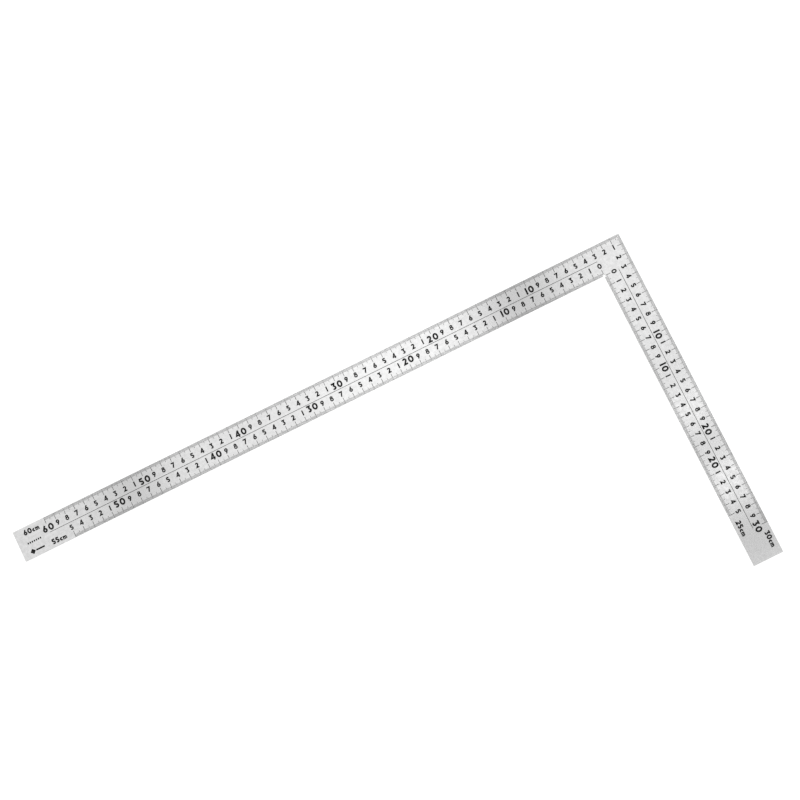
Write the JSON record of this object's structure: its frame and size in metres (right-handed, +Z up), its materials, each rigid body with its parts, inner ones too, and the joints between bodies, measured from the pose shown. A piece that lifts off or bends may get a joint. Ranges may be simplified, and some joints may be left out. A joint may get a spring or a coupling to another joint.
{
  "type": "steel square ruler",
  "caption": "Flat L-shaped stainless steel square ruler with centimetre scales along the inner and outer edges of both arms, for measuring and marking right angles.",
  "frame": {"origin": "the heel, which is the outer corner of the L, at the back face that the square lies on", "axes": "+Z up out of the front face, long arm along -X with its outer edge facing +Y, short arm along -Y with its outer edge facing +X"},
  "size_m": [0.632, 0.331, 0.002],
  "materials": {
    "steel": "fine satin stainless steel with soft, even reflections",
    "weld_steel": "weld metal ground flush and finished to match the satin stainless arms",
    "black_enamel": "semi-matt black baked enamel set into etched recesses"
  },
  "bodies": {
    "root": {"long_arm": "steel", "short_arm": "steel", "corner_weld": "weld_steel", "front_long_centre_line": "black_enamel", "front_short_centre_line": "black_enamel", "front_outer_long_mark_10cm": "black_enamel", "front_outer_long_mark_20cm": "black_enamel", "front_outer_long_mark_30cm": "black_enamel", "front_outer_long_mark_40cm": "black_enamel", "front_outer_long_mark_50cm": "black_enamel", "front_outer_long_mark_60cm": "black_enamel", "front_outer_short_mark_10cm": "black_enamel", "front_outer_short_mark_20cm": "black_enamel", "front_outer_short_mark_30cm": "black_enamel", "front_inner_long_mark_0cm": "black_enamel", "front_inner_long_mark_10cm": "black_enamel", "front_inner_long_mark_20cm": "black_enamel", "front_inner_long_mark_30cm": "black_enamel", "front_inner_long_mark_40cm": "black_enamel", "front_inner_long_mark_50cm": "black_enamel", "front_inner_short_mark_0cm": "black_enamel", "front_inner_short_mark_10cm": "black_enamel", "front_inner_short_mark_20cm": "black_enamel", "back_long_centre_line": "black_enamel", "back_short_centre_line": "black_enamel", "back_outer_long_mark_10cm": "black_enamel", "back_outer_long_mark_20cm": "black_enamel", "back_outer_long_mark_30cm": "black_enamel", "back_outer_long_mark_40cm": "black_enamel", "back_outer_long_mark_50cm": "black_enamel", "back_outer_long_mark_60cm": "black_enamel", "back_outer_short_mark_10cm": "black_enamel", "back_outer_short_mark_20cm": "black_enamel", "back_outer_short_mark_30cm": "black_enamel", "back_inner_long_mark_0cm": "black_enamel", "back_inner_long_mark_10cm": "black_enamel", "back_inner_long_mark_20cm": "black_enamel", "back_inner_long_mark_30cm": "black_enamel", "back_inner_long_mark_40cm": "black_enamel", "back_inner_long_mark_50cm": "black_enamel", "back_inner_short_mark_0cm": "black_enamel", "back_inner_short_mark_10cm": "black_enamel", "back_inner_short_mark_20cm": "black_enamel"}
  },
  "joints": []
}
